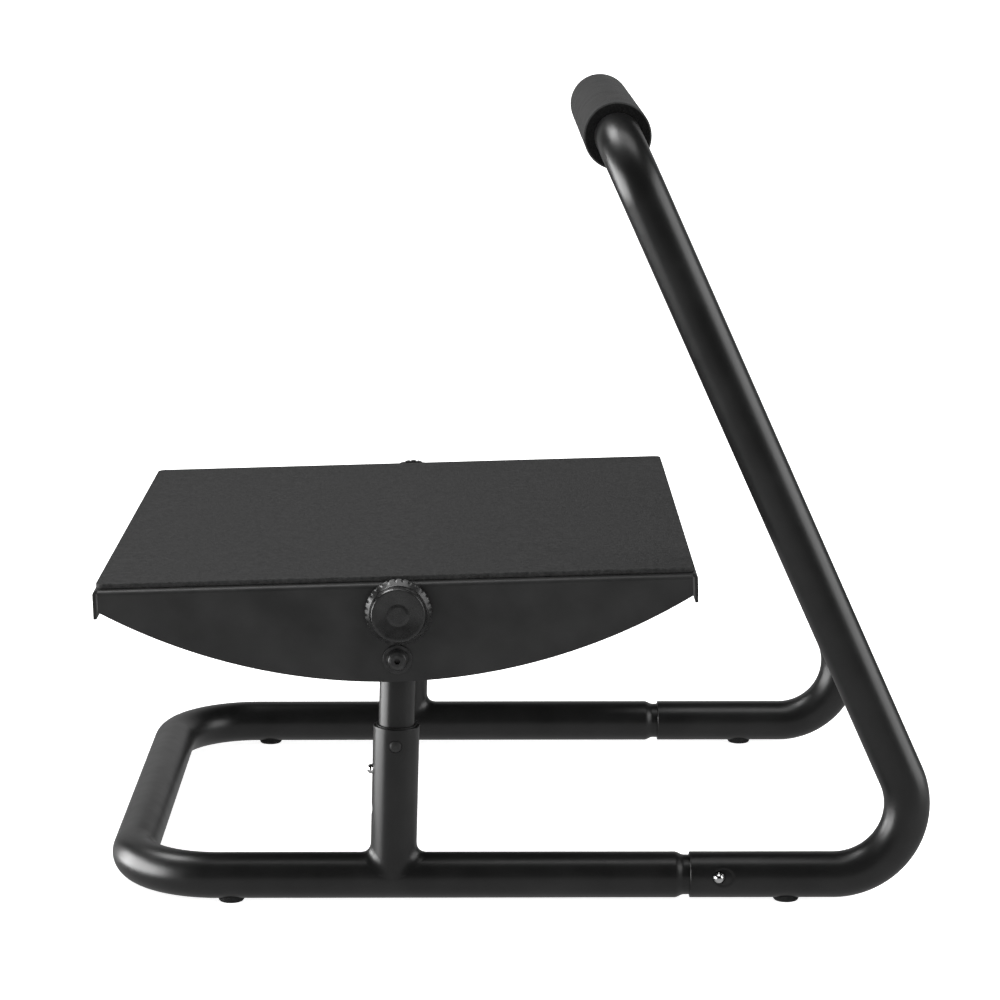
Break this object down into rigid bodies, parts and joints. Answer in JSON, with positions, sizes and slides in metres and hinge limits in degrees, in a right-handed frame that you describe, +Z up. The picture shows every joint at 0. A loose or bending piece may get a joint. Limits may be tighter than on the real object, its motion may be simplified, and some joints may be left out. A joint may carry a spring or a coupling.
{
  "type": "slant board",
  "caption": "Tilting, height-adjustable foot board: rubber-topped metal pan pivoted on two posts, on a bent-tube frame with a tall padded cross handle.",
  "frame": {"origin": "on the floor, under the middle of the overall box", "axes": "+X along the frame, from its front cross tube towards the handle; +Y along the platform's pivot axis, to the left of a user facing the handle; +Z up"},
  "size_m": [0.5156, 0.4352, 0.4928],
  "materials": {
    "frame_paint": "satin black powder coat on steel tube",
    "platform_paint": "satin black powder coat on folded sheet steel",
    "platform_mat": "fine-textured black rubber sheet",
    "grip_foam": "closed-cell foam with a slightly open skin, matte black",
    "rubber_foot": "plain black rubber",
    "knob_plastic": "moulded black plastic, semi-gloss",
    "black_plastic": "moulded black nylon",
    "black_hardware": "black-oxide steel",
    "zinc_hardware": "zinc-plated steel",
    "spring_steel": "spring steel strip",
    "chrome": "bright plated steel"
  },
  "bodies": {
    "frame": {"base_tube": "frame_paint", "handle_tube": "frame_paint", "grip_foam": "grip_foam", "foot_front_right": "rubber_foot", "foot_rear_right": "rubber_foot", "frame_clip_right": "spring_steel", "sleeve_right": "frame_paint", "liner_right": "black_plastic", "foot_front_left": "rubber_foot", "foot_rear_left": "rubber_foot", "frame_clip_left": "spring_steel", "sleeve_left": "frame_paint", "liner_left": "black_plastic"},
    "posts": {"post_right": "frame_paint", "post_cap_right": "black_plastic", "post_snap_right": "chrome", "pivot_bolt_right": "black_hardware", "pivot_washer_right": "black_hardware", "pivot_nut_right": "zinc_hardware", "pivot_saddle_right": "black_plastic", "clamp_saddle_right": "black_plastic", "clamp_insert_right": "zinc_hardware", "post_left": "frame_paint", "post_cap_left": "black_plastic", "post_snap_left": "chrome", "pivot_bolt_left": "black_hardware", "pivot_washer_left": "black_hardware", "pivot_nut_left": "zinc_hardware", "pivot_saddle_left": "black_plastic", "clamp_saddle_left": "black_plastic", "clamp_insert_left": "zinc_hardware"},
    "platform": {"pan": "platform_paint", "mat": "platform_mat"},
    "clamp_washer_right": {"clamp_washer_right": "black_hardware"},
    "knob_right": {"knob_right": "knob_plastic"},
    "frame_button_right": {"frame_button_right": "chrome"},
    "clamp_washer_left": {"clamp_washer_left": "black_hardware"},
    "knob_left": {"knob_left": "knob_plastic"},
    "frame_button_left": {"frame_button_left": "chrome"}
  },
  "joints": [
    {"name": "height_adjust", "type": "slide", "parent": "frame", "child": "posts", "axis": [0.0279, 0, 0.9996], "range_m": [-0.0254, 0], "deforming": ["post_snap_right", "post_snap_left"]},
    {"name": "platform_tilt", "type": "hinge", "parent": "posts", "child": "platform", "pos_m": [-0.0716, 0, 0.1574], "axis": [0, 1, 0], "range_deg": [-19.9, 23.1]},
    {"name": "clamp_travel_right", "type": "slide", "parent": "posts", "child": "clamp_washer_right", "axis": [0, -1, 0], "range_m": [0, 0.00187]},
    {"name": "knob_turn_right", "type": "hinge", "parent": "clamp_washer_right", "child": "knob_right", "pos_m": [-0.07075, -0.21, 0.18789], "axis": [0, -1, 0], "range_deg": [0, 540]},
    {"name": "frame_button_press_right", "type": "slide", "parent": "frame", "child": "frame_button_right", "axis": [0, 0.9903, -0.1392], "range_m": [0, 0.003], "stiffness_N_per_m": 3000, "springref_m": -0.001, "deforming": ["frame_clip_right"]},
    {"name": "clamp_travel_left", "type": "slide", "parent": "posts", "child": "clamp_washer_left", "axis": [0, 1, 0], "range_m": [0, 0.00187]},
    {"name": "knob_turn_left", "type": "hinge", "parent": "clamp_washer_left", "child": "knob_left", "pos_m": [-0.07075, 0.21, 0.18789], "axis": [0, 1, 0], "range_deg": [0, 540]},
    {"name": "frame_button_press_left", "type": "slide", "parent": "frame", "child": "frame_button_left", "axis": [0, -0.9903, -0.1392], "range_m": [0, 0.003], "stiffness_N_per_m": 3000, "springref_m": -0.001, "deforming": ["frame_clip_left"]}
  ],
  "couplings": [
    {"joint": "knob_turn_right", "follows": "clamp_travel_right", "rad_per_m": 5026.5},
    {"joint": "knob_turn_left", "follows": "clamp_travel_left", "rad_per_m": 5026.5}
  ]
}
